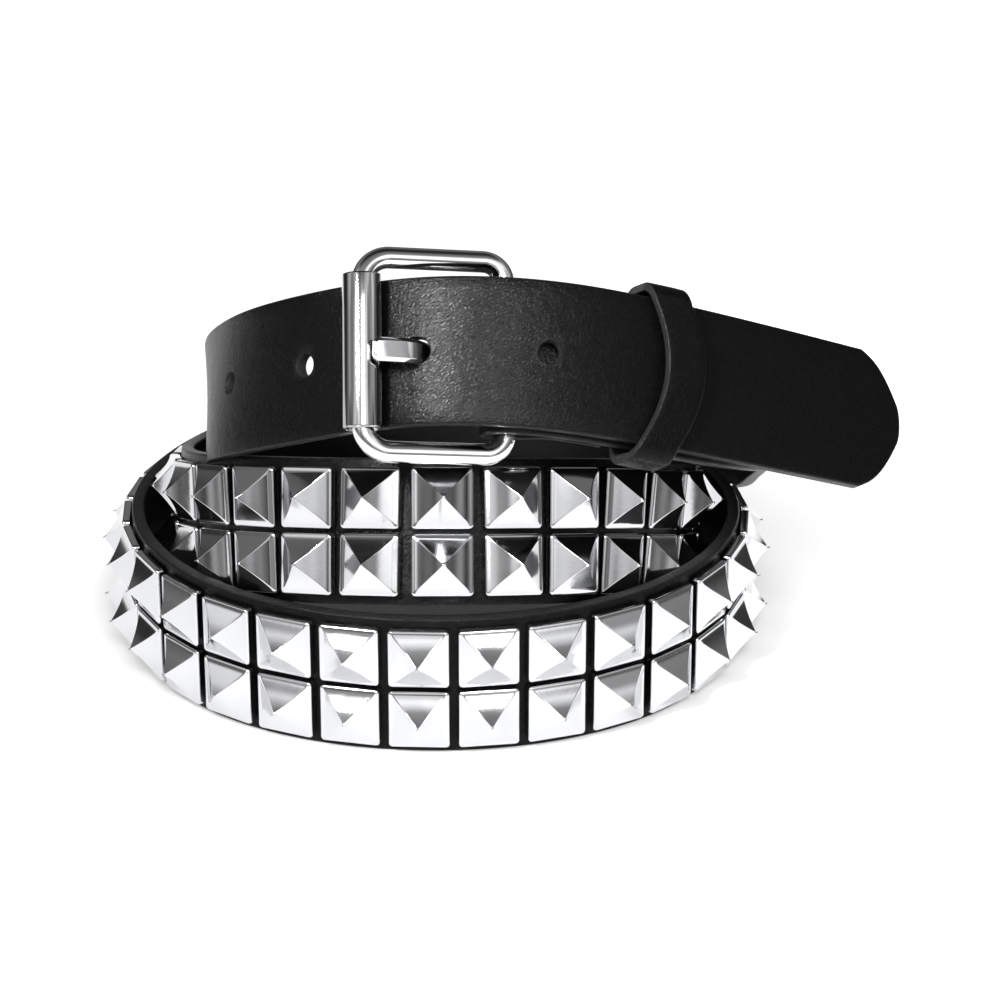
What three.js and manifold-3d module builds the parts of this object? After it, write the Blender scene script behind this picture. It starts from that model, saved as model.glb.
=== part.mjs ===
// A two-row pyramid-stud leather belt, buckled and coiled in three passes.
// Millimetres, +Z up. The outer coil stands on the plane z = 0.
import * as THREE from 'three';
import { mergeVertices } from 'three/addons/utils/BufferGeometryUtils.js';
import Module from 'manifold-3d';

const wasm = await Module();
wasm.setup();

// ---------------------------------------------------------------- driving sizes
const STRAP_WIDTH = 32;
const STRAP_THICK = 3.0;
const STRAP_LENGTH = 1362.4;     // from the fold bar to the point, along the middle of the leather
const SECTION_STEP = 5.2;        // distance between the strap's sections on the coil
const GAP = 0.3;                 // clearance between pieces that touch

const TAB_LENGTH = 24.2;          // fold-back behind the buckle
const TAB_MERGE = 11;            // distance over which the fold-back closes on the strap
const FOLD_ALIGN = 20;           // distance over which the strap turns square to the fold bar

const HOLE_DIA = 4.8;
const HOLE_PITCH = 28.0;
const PRONG_HOLE_AT = 1246.8;    // along the strap
const HOLES_BEFORE = 3;          // free holes on the coil side of the prong
const HOLES_AFTER = 1;           // free holes on the point side of the prong
const HOLE_ACROSS = 0.4;         // above the strap's middle

const STUD_SIDE = 13.55;
const STUD_SKIRT = 2.1;          // straight sides under the pyramid
const STUD_HEIGHT = 6.6;
const STUD_PITCH = 14.835;        // along the strap
const STUD_ROW_PITCH = 14.55;     // across the strap
const STUD_PHASE = 459.55;       // one column's middle, along the strap
const STUD_FIRST = -11;          // first and last column, counted from that one
const STUD_LAST = 37;
const STUD_RUN = 5;              // columns joined in one run
const WEB_WIDTH = 4.0;           // little bridges that join the studs of a run
const WEB_THICK = 0.7;

const ROD_DIA = 4.7;             // buckle frame
const FRAME_LENGTH = 31.5;       // between the middles of the roller rod and the fold bar
const FRAME_WIDTH = 41.95;       // between the middles of the two side bars
const FRAME_CORNER_FRONT = 6.0;
const FRAME_CORNER_BAR = 4.7;
const ROLLER_DIA = 8.5;
const ROLLER_BORE = 6.8;
const ROLLER_LENGTH = 33.4;
const ROLLER_SHIFT = 0.4;

const PRONG_WIDTH = 5.3;
const PRONG_THICK = 2.4;
const PRONG_EYE_DIA = 8.9;
const PRONG_EYE_BORE = 5.4;
const SLOT_WIDTH = 6.2;          // opening in the fold for the prong
const SLOT_LENGTH = 13;
const SLOT_REACH = 5.95;

const KEEPER_AT = 1302.8;          // middle of the keeper, along the strap
const KEEPER_WIDTH = 9.2;
const KEEPER_THICK = 2.0;
const KEEPER_BOW = 5.2;          // how far its ends lag behind its middle

const RIVET_SHAFT_DIA = 3.2;
const RIVET_HEAD_DIA = 7.0;
const RIVET_BACK_HEAD = 1.3;
const RIVET_FRONT_HEAD = 0.8;

// The coil's own axis is x = 0, y = 0 below; the finished belt is moved so that the middle of its
// footprint is the origin.
const FOOTPRINT_MIDDLE = { x: 13.158, y: 4.02, z: -0.0066 };

// The coil: one row per station of the strap's middle line. angle runs round the coil from the
// front, anticlockwise seen from above; height is the middle's; lean tips the top edge inwards.
const COIL_COLUMNS = ['angle', 'radius', 'height', 'lean'];
const COIL = [
  [16, 61.7, 89.0, 30.0],
  [26, 64.6, 87.5, 28.0],
  [38, 69.8, 83.8, 27.5],
  [50, 76.4, 78.1, 24.5],
  [62, 78.9, 71.8, 13.0],
  [76, 76.9, 64.2, 4.0],
  [92, 76.2, 54.4, -1.0],
  [115, 82.5, 38.5, -11.0],
  [145, 82.5, 26.6, -13.0],
  [180, 79.0, 19.0, -7.0],
  [225, 73.6, 16.0, 0.0],
  [270, 70.3, 16.0, 0.0],
  [315, 68.2, 16.0, 0.0],
  [360, 66.8, 16.0, 0.0],
  [405, 69.4, 16.0, 0.0],
  [450, 70.6, 16.0, 0.0],
  [495, 67.8, 16.0, 0.0],
  [540, 65.2, 16.4, -1.0],
  [585, 62.6, 19.9, 2.0],
  [630, 58.8, 29.4, 3.0],
  [675, 58.3, 42.6, 10.0],
  [720, 62.4, 50.3, 24.0],
  [765, 59.0, 42.0, 11.0],
  [810, 59.2, 25.8, -4.0],
  [855, 56.6, 17.4, -9.0],
  [900, 56.0, 18.8, -10.0],
  [945, 54.9, 31.5, -16.0],
  [990, 51.1, 55.3, -5.0],
  [1020, 53.1, 70.0, 16.5],
  [1050, 55.4, 82.6, 20.5],
  [1080, 61.5, 91.6, 29.5],
  [1105, 68.0, 90.3, 27.5],
  [1125, 76.9, 82.8, 28.5],
  [1152.8, 112.5, 62.6, 36.0],
];

const STANDS_FROM = 225;         // angles between which the coil stands on the ground
const STANDS_TO = 495;

// The point's outline: distance back from the end, half width there.
const POINT = [
  [0, 1.2],
  [0.5, 3.6],
  [1.6, 6.0],
  [4.2, 10.4],
  [7.4, 14.0],
  [10.8, 16],
];

// The buckle's frame: middle of the roller rod, and which way the frame and its rods run.
const ROLLER_AXIS = { x: -13.85, y: -62.85, z: 91.63 };
const FOLD_BAR = { x: 16.48, y: -55.31, z: 87.70 };
const ROD_DIRECTION = { x: -0.0097, y: 0.493, z: 0.87 };

// The prong's middle line: distance from the roller rod towards the bar, and height over the frame.
const PRONG_LINE = [
  [27.6, 0.4],
  [23.0, -0.9],
  [18.9, -1.9],
  [16.2, -1.5],
  [14.0, 0.6],
  [10.9, 3.9],
  [6.8, 5.7],
  [1.0, 6.2],
];

// ---------------------------------------------------------------- vectors and splines
const V = (x, y, z) => new THREE.Vector3(x, y, z);
const UP = V(0, 0, 1);
const rad = (d) => (d * Math.PI) / 180;

// a cubic spline through (x, y), free at its ends or level there
function spline(x, y, levelStart = false, levelEnd = false) {
  const n = x.length;
  const m = new Array(n).fill(0);
  const c = new Array(n).fill(0);
  const d = new Array(n).fill(0);
  const step = (i) => x[i + 1] - x[i];
  const slope = (i) => (y[i + 1] - y[i]) / step(i);
  if (levelStart) {
    c[0] = 0.5;
    d[0] = (3 * slope(0)) / step(0);
  }
  for (let i = 1; i < n - 1; i++) {
    const q = 2 * (step(i - 1) + step(i)) - step(i - 1) * c[i - 1];
    c[i] = step(i) / q;
    d[i] = (6 * (slope(i) - slope(i - 1)) - step(i - 1) * d[i - 1]) / q;
  }
  if (levelEnd) {
    const h = step(n - 2);
    m[n - 1] = (-6 * slope(n - 2) - h * d[n - 2]) / (2 * h - h * c[n - 2]);
  }
  for (let i = n - 2; i >= (levelStart ? 0 : 1); i--) m[i] = d[i] - c[i] * m[i + 1];
  return (t) => {
    let i = 0;
    while (i < n - 2 && t > x[i + 1]) i++;
    const h = x[i + 1] - x[i];
    const a = (x[i + 1] - t) / h;
    const b = (t - x[i]) / h;
    return a * y[i] + b * y[i + 1] + ((a * a * a - a) * m[i] + (b * b * b - b) * m[i + 1]) * h * h / 6;
  };
}

// ---------------------------------------------------------------- the strap's middle line
const col = Object.fromEntries(COIL_COLUMNS.map((name, k) => [name, COIL.map((row) => row[k])]));
const stations = COIL.map((_, i) => {
  const a = rad(col.angle[i]);
  return V(col.radius[i] * Math.sin(a), -col.radius[i] * Math.cos(a), col.height[i]);
});
const chord = [0];
for (let i = 1; i < stations.length; i++) chord.push(chord[i - 1] + stations[i].distanceTo(stations[i - 1]));
const sx = spline(chord, stations.map((p) => p.x));
const sy = spline(chord, stations.map((p) => p.y));
// height and lean: over the stretch that stands on the ground both are level
const down = col.angle.indexOf(STANDS_FROM);
const up = col.angle.indexOf(STANDS_TO);
function resting(values) {
  const before = spline(chord.slice(0, down + 1), values.slice(0, down + 1), false, true);
  const after = spline(chord.slice(up), values.slice(up), true, false);
  return (t) => (t <= chord[down] ? before(t) : t >= chord[up] ? after(t) : values[down]);
}
const sz = resting(col.height);
const sLean = resting(col.lean);
const pointAt = (t) => V(sx(t), sy(t), sz(t));

const FINE = 4000;
const tEnd = chord[chord.length - 1];
const arc = [0];
for (let i = 1; i <= FINE; i++) {
  arc.push(arc[i - 1] + pointAt((tEnd * i) / FINE).distanceTo(pointAt((tEnd * (i - 1)) / FINE)));
}
function paramAt(s) {
  let lo = 0;
  let hi = FINE;
  while (hi - lo > 1) {
    const mid = (lo + hi) >> 1;
    if (arc[mid] > s) hi = mid; else lo = mid;
  }
  return (tEnd * (lo + (s - arc[lo]) / (arc[hi] - arc[lo]))) / FINE;
}
// the buckle's own directions: a from the roller to the fold bar, w along the rods, n outward
const rollerAt = V(ROLLER_AXIS.x, ROLLER_AXIS.y, ROLLER_AXIS.z);
const barAt = V(FOLD_BAR.x, FOLD_BAR.y, FOLD_BAR.z);
const fa = barAt.clone().sub(rollerAt).normalize();
const fw = V(ROD_DIRECTION.x, ROD_DIRECTION.y, ROD_DIRECTION.z);
fw.addScaledVector(fa, -fw.dot(fa)).normalize();
const buckle = { c: rollerAt, t: fa, w: fw, n: fa.clone().cross(fw) };
const smooth = (u) => { const x = Math.min(1, Math.max(0, u)); return x * x * (3 - 2 * x); };

// at(s): middle point c, tangent t, across w (towards the top edge), outward n
function at(s) {
  const q = paramAt(s);
  const e = 0.05;
  const t = pointAt(q + e).sub(pointAt(q - e)).normalize();
  const w0 = UP.clone().addScaledVector(t, -UP.dot(t)).normalize();
  const n0 = t.clone().cross(w0);
  const lean = rad(sLean(q));
  const w = w0.multiplyScalar(Math.cos(lean)).addScaledVector(n0, -Math.sin(lean));
  if (s < FOLD_ALIGN) w.lerp(fw, 1 - smooth(s / FOLD_ALIGN)).normalize();
  const n = t.clone().cross(w).normalize();
  return { c: pointAt(q), t: w.clone().cross(n), w, n };
}
const place = (f, along, across, out) =>
  f.c.clone().addScaledVector(f.t, along).addScaledVector(f.w, across).addScaledVector(f.n, out);

// ---------------------------------------------------------------- solids
// rings: a list of sections, each a list of points, all of one length
function loft(rings, closed = false) {
  const m = rings[0].length;
  const pos = [];
  const idx = [];
  rings.forEach((r) => r.forEach((p) => pos.push(p.x, p.y, p.z)));
  const last = closed ? rings.length : rings.length - 1;
  for (let i = 0; i < last; i++) {
    const a = i * m;
    const b = ((i + 1) % rings.length) * m;
    for (let k = 0; k < m; k++) {
      const l = (k + 1) % m;
      idx.push(a + k, a + l, b + l, a + k, b + l, b + k);
    }
  }
  if (!closed) {
    const z = (rings.length - 1) * m;
    for (let k = 1; k < m - 1; k++) {
      idx.push(0, k + 1, k);
      idx.push(z, z + k, z + k + 1);
    }
  }
  const g = new THREE.BufferGeometry();
  g.setAttribute('position', new THREE.Float32BufferAttribute(pos, 3));
  g.setIndex(idx);
  return g;
}
function volume(g) {
  const p = g.attributes.position;
  const ix = g.index.array;
  let v = 0;
  for (let i = 0; i < ix.length; i += 3) {
    const a = V().fromBufferAttribute(p, ix[i]);
    const b = V().fromBufferAttribute(p, ix[i + 1]);
    const c = V().fromBufferAttribute(p, ix[i + 2]);
    v += a.dot(b.cross(c)) / 6;
  }
  return v;
}
function facingOut(g) {
  if (volume(g) < 0) {
    const ix = g.index.array;
    for (let i = 0; i < ix.length; i += 3) [ix[i + 1], ix[i + 2]] = [ix[i + 2], ix[i + 1]];
  }
  return g;
}
function solid(geometry) {
  let g = geometry.clone();
  g.deleteAttribute('normal');
  g.deleteAttribute('uv');
  g = facingOut(mergeVertices(g, 1e-4));
  return new wasm.Manifold(new wasm.Mesh({
    numProp: 3,
    vertProperties: new Float32Array(g.attributes.position.array),
    triVerts: new Uint32Array(g.index.array),
  }));
}
function geometryOf(manifold) {
  const m = manifold.getMesh();
  const g = new THREE.BufferGeometry();
  g.setAttribute('position', new THREE.BufferAttribute(new Float32Array(m.vertProperties), 3));
  g.setIndex(new THREE.BufferAttribute(new Uint32Array(m.triVerts), 1));
  return g;
}
// a geometry modelled along X (along), Y (across), Z (out), set into a strap frame
function setInto(g, f, along = 0, across = 0, out = 0) {
  const m = new THREE.Matrix4().makeBasis(f.t, f.w, f.n).setPosition(place(f, along, across, out));
  return g.clone().applyMatrix4(m);
}
const box = (lx, ly, lz) => new THREE.BoxGeometry(lx, ly, lz);
const drum = (dia, height, sides = 20) => new THREE.CylinderGeometry(dia / 2, dia / 2, height, sides).rotateX(Math.PI / 2);

// ---------------------------------------------------------------- strap
const H = STRAP_WIDTH / 2;
const K = STRAP_THICK / 2;
const rect = (c, w, n, half = H) => [
  c.clone().addScaledVector(w, -half).addScaledVector(n, -K),
  c.clone().addScaledVector(w, -half).addScaledVector(n, K),
  c.clone().addScaledVector(w, half).addScaledVector(n, K),
  c.clone().addScaledVector(w, half).addScaledVector(n, -K),
];
const start = at(0);
const FOLD_RADIUS = ROD_DIA / 2 + GAP + K;
const bar = start.c.clone().addScaledVector(start.n, -FOLD_RADIUS);
const foldNormal = (a) => start.n.clone().multiplyScalar(Math.cos(a)).addScaledVector(start.t, -Math.sin(a));
function tabAt(d) {
  const f = at(d);
  const open = 2 * FOLD_RADIUS;
  const shut = STRAP_THICK + GAP + 0.1;
  const off = open + (shut - open) * smooth(d / TAB_MERGE);
  return { c: place(f, 0, 0, -off), t: f.t.clone().negate(), w: f.w, n: f.n.clone().negate() };
}
const rings = [];
for (let d = TAB_LENGTH; d > 0.5; d -= 2.6) {
  const f = tabAt(d);
  rings.push(rect(f.c, f.w, f.n));
}
const FOLD_STEPS = 10;
for (let i = FOLD_STEPS; i >= 0; i--) {
  const n = foldNormal((Math.PI * i) / FOLD_STEPS);
  rings.push(rect(bar.clone().addScaledVector(n, FOLD_RADIUS), start.w, n));
}
const bodyEnd = STRAP_LENGTH - POINT[POINT.length - 1][0];
const bodySteps = Math.round(bodyEnd / SECTION_STEP);
for (let i = 1; i <= bodySteps; i++) {
  const f = at((bodyEnd * i) / bodySteps);
  rings.push(rect(f.c, f.w, f.n));
}
for (let i = POINT.length - 2; i >= 0; i--) {
  const f = at(STRAP_LENGTH - POINT[i][0]);
  rings.push(rect(f.c, f.w, f.n, POINT[i][1]));
}
let strap = solid(loft(rings));

for (let k = -HOLES_BEFORE; k <= HOLES_AFTER; k++) {
  if (k !== 0) strap = strap.subtract(solid(setInto(drum(HOLE_DIA, 8), at(PRONG_HOLE_AT + k * HOLE_PITCH), 0, HOLE_ACROSS)));
}

// ---------------------------------------------------------------- buckle
function frameGeometry() {
  const L = FRAME_LENGTH;
  const B = FRAME_WIDTH / 2;
  const r = ROD_DIA / 2;
  const corners = [
    [L - FRAME_CORNER_BAR, B - FRAME_CORNER_BAR, FRAME_CORNER_BAR, 0],
    [FRAME_CORNER_FRONT, B - FRAME_CORNER_FRONT, FRAME_CORNER_FRONT, 90],
    [FRAME_CORNER_FRONT, -B + FRAME_CORNER_FRONT, FRAME_CORNER_FRONT, 180],
    [L - FRAME_CORNER_BAR, -B + FRAME_CORNER_BAR, FRAME_CORNER_BAR, 270],
  ];
  const steps = 6;
  const sides = 12;
  const out = [];
  for (const [cx, cy, rc, a0] of corners) {
    for (let i = 0; i <= steps; i++) {
      const a = rad(a0 + (90 * i) / steps);
      const ring = [];
      for (let k = 0; k < sides; k++) {
        const b = (2 * Math.PI * k) / sides;
        const d = rc + r * Math.cos(b);
        ring.push(V(cx + d * Math.cos(a), cy + d * Math.sin(a), r * Math.sin(b)));
      }
      out.push(ring);
    }
  }
  return loft(out, true);
}
const frame = solid(setInto(frameGeometry(), buckle));

function rollerGeometry() {
  const a = ROLLER_BORE / 2;
  const b = ROLLER_DIA / 2;
  const h = ROLLER_LENGTH / 2;
  const c = 0.4;
  const profile = [[a, -h], [b - c, -h], [b, -h + c], [b, h - c], [b - c, h], [a, h], [a, -h]];
  return new THREE.LatheGeometry(profile.map(([x, y]) => new THREE.Vector2(x, y)), 24);
}
const roller = solid(setInto(rollerGeometry(), buckle, 0, ROLLER_SHIFT, 0));

// ---------------------------------------------------------------- prong
function prongBar(wide, thick) {
  const px = spline(PRONG_LINE.map((_, i) => i), PRONG_LINE.map((p) => p[0]));
  const py = spline(PRONG_LINE.map((_, i) => i), PRONG_LINE.map((p) => p[1]));
  const n = PRONG_LINE.length - 1;
  const steps = 3 * n;
  const out = [];
  for (let i = 0; i <= steps; i++) {
    const u = (n * i) / steps;
    const x = px(u);
    const y = py(u);
    const dx = px(u + 0.01) - px(u - 0.01);
    const dy = py(u + 0.01) - py(u - 0.01);
    const l = Math.hypot(dx, dy);
    const nx = dy / l;             // points away from the strap's inner side
    const ny = -dx / l;
    const tip = Math.max(0, 1 - (n - u) / 0.55);
    const hw = (wide / 2) * Math.sqrt(1 - 0.45 * tip * tip);
    const ht = (thick / 2) * (1 - 0.25 * tip);
    const bevel = 0.75;
    const section = [
      [-hw, -ht], [-hw, ht - bevel], [-hw + bevel, ht], [hw - bevel, ht], [hw, ht - bevel], [hw, -ht],
    ];
    out.push(section.map(([v, k]) => V(x + nx * k, v, y + ny * k)));
  }
  return loft(out);
}
function eyeGeometry(width, dia, bore) {
  const a = bore / 2;
  const b = dia / 2;
  const h = width / 2;
  const profile = [[a, -h], [b, -h], [b, h], [a, h], [a, -h]];
  return new THREE.LatheGeometry(profile.map(([x, y]) => new THREE.Vector2(x, y)), 20);
}
const eyeBore = solid(setInto(new THREE.CylinderGeometry(PRONG_EYE_BORE / 2, PRONG_EYE_BORE / 2, PRONG_WIDTH * 3, 20), buckle, FRAME_LENGTH, 0, 0));
const prong = solid(setInto(prongBar(PRONG_WIDTH, PRONG_THICK), buckle))
  .add(solid(setInto(eyeGeometry(PRONG_WIDTH, PRONG_EYE_DIA, PRONG_EYE_BORE), buckle, FRAME_LENGTH, 0, 0)))
  .subtract(eyeBore);

// the fold's slot, and the strap hole that the prong goes through
const slotEnd = SLOT_LENGTH / 2;
const slotRound = new THREE.CylinderGeometry(SLOT_REACH, SLOT_REACH, SLOT_WIDTH, 24);
strap = strap.subtract(solid(setInto(slotRound, buckle, FRAME_LENGTH, 0, 0)));
strap = strap.subtract(solid(setInto(box(slotEnd, SLOT_WIDTH, 2 * SLOT_REACH), buckle, FRAME_LENGTH + slotEnd / 2, 0, 0)));
const passes = solid(setInto(prongBar(PRONG_WIDTH + 2 * GAP, PRONG_THICK + 2 * GAP + 0.2), buckle));
strap = strap.subtract(passes);

// ---------------------------------------------------------------- keeper
function keeperGeometry() {
  const f = at(KEEPER_AT);
  const back = -3.6 - K - 1.9;      // behind the second layer
  const front = K + 0.75;
  const top = H + 1.3;
  const foot = -H - 2.2;
  const r = 2.2;
  const crown = 1.5;
  const line = [];                   // across, out, normal across, normal out, lag
  const corner = (v, k, a0) => {
    for (let i = 0; i <= 4; i++) {
      const a = rad(a0 + (90 * i) / 4);
      line.push([v + r * Math.cos(a), k + r * Math.sin(a), Math.cos(a), Math.sin(a)]);
    }
  };
  corner(top - r + 0.001, front - r, 0);
  const n = 10;
  for (let i = 1; i < n; i++) {
    const u = i / n;
    const v = top - r + (foot - top + 2 * r) * u;
    line.push([v, front + crown * Math.sin(Math.PI * u), 0, 1]);
  }
  corner(foot + r, front - r, 90);
  corner(foot + r, back + r, 180);
  corner(top - r, back + r, 270);
  const half = KEEPER_WIDTH / 2;
  const mid = (top + foot) / 2;
  const out = line.map(([v, k, nv, nk]) => {
    const u = (v - mid) / ((top - foot) / 2);
    const lag = k > 0 ? -KEEPER_BOW * u * u : -KEEPER_BOW;
    return [[-half, 0], [half, 0], [half, KEEPER_THICK], [-half, KEEPER_THICK]].map(([x, d]) => V(x + lag, v + nv * d, k + nk * d));
  });
  return setInto(loft(out, true), f, 1.5, 0, 0);
}
const keeper = solid(keeperGeometry());

// ---------------------------------------------------------------- fold rivets
const RIVETS = [
  { name: 'fold_rivet_1', along: 14.5, across: 8.5 },
  { name: 'fold_rivet_2', along: 14.5, across: -8.5 },
];
function rivetGeometry(grow = 0) {
  const s = RIVET_SHAFT_DIA / 2 + grow;
  const h = RIVET_HEAD_DIA / 2 + grow;
  const frontFace = K - 0.1 + grow;
  const frontSeat = K - 0.1 - RIVET_FRONT_HEAD - grow;
  const backSeat = -(STRAP_THICK + GAP + 0.1) - K - GAP + grow;
  const backTop = backSeat - RIVET_BACK_HEAD - 2 * grow;
  const profile = [
    [0, backTop], [h - 1.4, backTop], [h, backTop + 0.8], [h, backSeat], [s, backSeat],
    [s, frontSeat], [h, frontSeat], [h, frontFace], [0, frontFace],
  ];
  return new THREE.LatheGeometry(profile.map(([x, y]) => new THREE.Vector2(x, y)), 18).rotateX(Math.PI / 2);
}
const rivets = RIVETS.map((row) => {
  const f = at(row.along);
  strap = strap.subtract(solid(setInto(rivetGeometry(GAP), f, 0, row.across)));
  return { name: row.name, body: solid(setInto(rivetGeometry(), f, 0, row.across)) };
});

// ---------------------------------------------------------------- studs
function studGeometry() {
  const a = STUD_SIDE / 2;
  const ring = (h, z) => [V(-h, -h, z), V(h, -h, z), V(h, h, z), V(-h, h, z)];
  return loft([ring(a, 0), ring(a, STUD_SKIRT), ring(0.35, STUD_HEIGHT)]);
}
const stud = studGeometry();
const SEAT = K + GAP;
const runs = [];
for (let first = STUD_FIRST; first <= STUD_LAST; first += STUD_RUN) {
  const last = Math.min(first + STUD_RUN - 1, STUD_LAST);
  let body = null;
  const join = (g) => { const s = solid(g); body = body ? body.add(s) : s; };
  for (let c = first; c <= last; c++) {
    const s = STUD_PHASE + c * STUD_PITCH;
    const f = at(s);
    for (const row of [-0.5, 0.5]) join(setInto(stud, f, 0, row * STUD_ROW_PITCH, SEAT));
    const across = STUD_ROW_PITCH - STUD_SIDE + 2;
    join(setInto(box(WEB_WIDTH, across, WEB_THICK), f, 0, 0, SEAT + 0.08 + WEB_THICK / 2));
    if (c < last) {
      const g = at(s + STUD_PITCH / 2);
      const along = STUD_PITCH - STUD_SIDE + 2;
      for (const row of [-0.5, 0.5]) {
        join(setInto(box(along, WEB_WIDTH, WEB_THICK), g, 0, row * STUD_ROW_PITCH, SEAT + 0.25 + WEB_THICK / 2));
      }
    }
  }
  runs.push(body);
}

// ---------------------------------------------------------------- the whole belt
const leather = () => new THREE.MeshStandardMaterial({ color: 0x1d1d1e, roughness: 0.5, metalness: 0 });
const chrome = () => new THREE.MeshStandardMaterial({ color: 0xd9dadd, roughness: 0.12, metalness: 1 });

const belt = new THREE.Group();
belt.name = 'studded_belt';
function addPiece(name, manifold, material) {
  const geometry = geometryOf(manifold);
  geometry.translate(-FOOTPRINT_MIDDLE.x, -FOOTPRINT_MIDDLE.y, -FOOTPRINT_MIDDLE.z);
  const mesh = new THREE.Mesh(geometry, material);
  mesh.name = name;
  belt.add(mesh);
}
addPiece('belt_strap', strap, leather());
addPiece('keeper_loop', keeper, leather());
addPiece('buckle_frame', frame, chrome());
addPiece('buckle_roller', roller, chrome());
addPiece('buckle_prong', prong, chrome());
rivets.forEach((r) => addPiece(r.name, r.body, chrome()));
runs.forEach((r, i) => addPiece('stud_run_' + String(i + 1).padStart(2, '0'), r, chrome()));

export default belt;
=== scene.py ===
import math

import bmesh
import bpy
import numpy as np
from mathutils import Matrix, Vector


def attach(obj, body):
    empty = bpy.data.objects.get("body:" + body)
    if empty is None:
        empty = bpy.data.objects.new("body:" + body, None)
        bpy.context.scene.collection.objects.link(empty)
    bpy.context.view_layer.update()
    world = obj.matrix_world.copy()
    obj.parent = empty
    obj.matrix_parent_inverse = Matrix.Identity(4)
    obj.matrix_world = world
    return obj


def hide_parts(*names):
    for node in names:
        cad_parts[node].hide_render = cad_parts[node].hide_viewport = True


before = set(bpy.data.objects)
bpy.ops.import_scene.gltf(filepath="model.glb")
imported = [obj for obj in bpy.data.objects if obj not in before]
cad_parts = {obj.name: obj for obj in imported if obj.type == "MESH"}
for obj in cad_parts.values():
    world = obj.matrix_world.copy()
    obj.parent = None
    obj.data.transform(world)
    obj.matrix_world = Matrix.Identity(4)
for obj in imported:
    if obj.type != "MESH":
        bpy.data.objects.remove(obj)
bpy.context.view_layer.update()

MM = 0.001

# ------------------------------------------------------------------ sizes, in millimetres, as in the part
STRAP_WIDTH = 32.0
STRAP_THICK = 3.0
STRAP_LENGTH = 1362.4
GAP = 0.3
TAB_LENGTH = 24.2
TAB_MERGE = 11.0
FOLD_ALIGN = 20.0
HOLE_DIA = 4.8
HOLE_PITCH = 28.0
PRONG_HOLE_AT = 1246.8
HOLES = (-3, -2, -1, 1)
HOLE_ACROSS = 0.4
STUD_SIDE = 13.55
STUD_SKIRT = 2.1
STUD_HEIGHT = 6.6
STUD_PITCH = 14.835
STUD_ROW_PITCH = 14.55
STUD_PHASE = 459.55
STUD_FIRST, STUD_LAST, STUD_RUN = -11, 37, 5
ROD_DIA = 4.7
FRAME_LENGTH = 31.5
FRAME_WIDTH = 41.95
FRAME_CORNER_FRONT = 6.0
FRAME_CORNER_BAR = 4.7
ROLLER_DIA = 8.5
ROLLER_BORE = 6.8
ROLLER_LENGTH = 33.4
ROLLER_SHIFT = 0.4
PRONG_WIDTH = 5.3
PRONG_THICK = 2.4
PRONG_EYE_DIA = 8.9
PRONG_EYE_BORE = 5.4
SLOT_WIDTH = 6.2
SLOT_END = 6.5
KEEPER_AT = 1302.8
KEEPER_WIDTH = 9.2
KEEPER_THICK = 2.0
KEEPER_BOW = 5.2
RIVETS = ((14.5, 8.5), (14.5, -8.5))
MIDDLE = np.array([13.158, 4.02, -0.0066])
STANDS_FROM, STANDS_TO = 225.0, 495.0
# angle, radius, height, lean
COIL = np.array([
    [16, 61.7, 89.0, 30.0],
    [26, 64.6, 87.5, 28.0],
    [38, 69.8, 83.8, 27.5],
    [50, 76.4, 78.1, 24.5],
    [62, 78.9, 71.8, 13.0],
    [76, 76.9, 64.2, 4.0],
    [92, 76.2, 54.4, -1.0],
    [115, 82.5, 38.5, -11.0],
    [145, 82.5, 26.6, -13.0],
    [180, 79.0, 19.0, -7.0],
    [225, 73.6, 16.0, 0.0],
    [270, 70.3, 16.0, 0.0],
    [315, 68.2, 16.0, 0.0],
    [360, 66.8, 16.0, 0.0],
    [405, 69.4, 16.0, 0.0],
    [450, 70.6, 16.0, 0.0],
    [495, 67.8, 16.0, 0.0],
    [540, 65.2, 16.4, -1.0],
    [585, 62.6, 19.9, 2.0],
    [630, 58.8, 29.4, 3.0],
    [675, 58.3, 42.6, 10.0],
    [720, 62.4, 50.3, 24.0],
    [765, 59.0, 42.0, 11.0],
    [810, 59.2, 25.8, -4.0],
    [855, 56.6, 17.4, -9.0],
    [900, 56.0, 18.8, -10.0],
    [945, 54.9, 31.5, -16.0],
    [990, 51.1, 55.3, -5.0],
    [1020, 53.1, 70.0, 16.5],
    [1050, 55.4, 82.6, 20.5],
    [1080, 61.5, 91.6, 29.5],
    [1105, 68.0, 90.3, 27.5],
    [1125, 76.9, 82.8, 28.5],
    [1152.8, 112.5, 62.6, 36.0],
])
# the point: distance back from the end, half width
POINT = np.array([[0, 1.2], [0.5, 3.6], [1.6, 6.0], [4.2, 10.4], [7.4, 14.0], [10.8, 16.0]])
ROLLER_AXIS = np.array([-13.85, -62.85, 91.63])
FOLD_BAR = np.array([16.48, -55.31, 87.70])
ROD_DIRECTION = np.array([-0.0097, 0.493, 0.87])
PRONG_LINE = np.array([[27.6, 0.4], [23.0, -0.9], [18.9, -1.9], [16.2, -1.5], [14.0, 0.6], [10.9, 3.9], [6.8, 5.7], [1.0, 6.2]])
# the photograph's camera: elevation in degrees, distance and point looked at in mm, focal length in pixels
CAM_ELEVATION, CAM_DISTANCE, CAM_FOCAL = 22.341, 770.26, 3246.334
CAM_TARGET = np.array([15.465, 0.0, 32.137])

H = STRAP_WIDTH / 2
K = STRAP_THICK / 2


def unit(a):
    a = np.asarray(a, float)
    return a / np.linalg.norm(a, axis=-1, keepdims=True)


def smooth(u):
    u = np.clip(u, 0, 1)
    return u * u * (3 - 2 * u)


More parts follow.
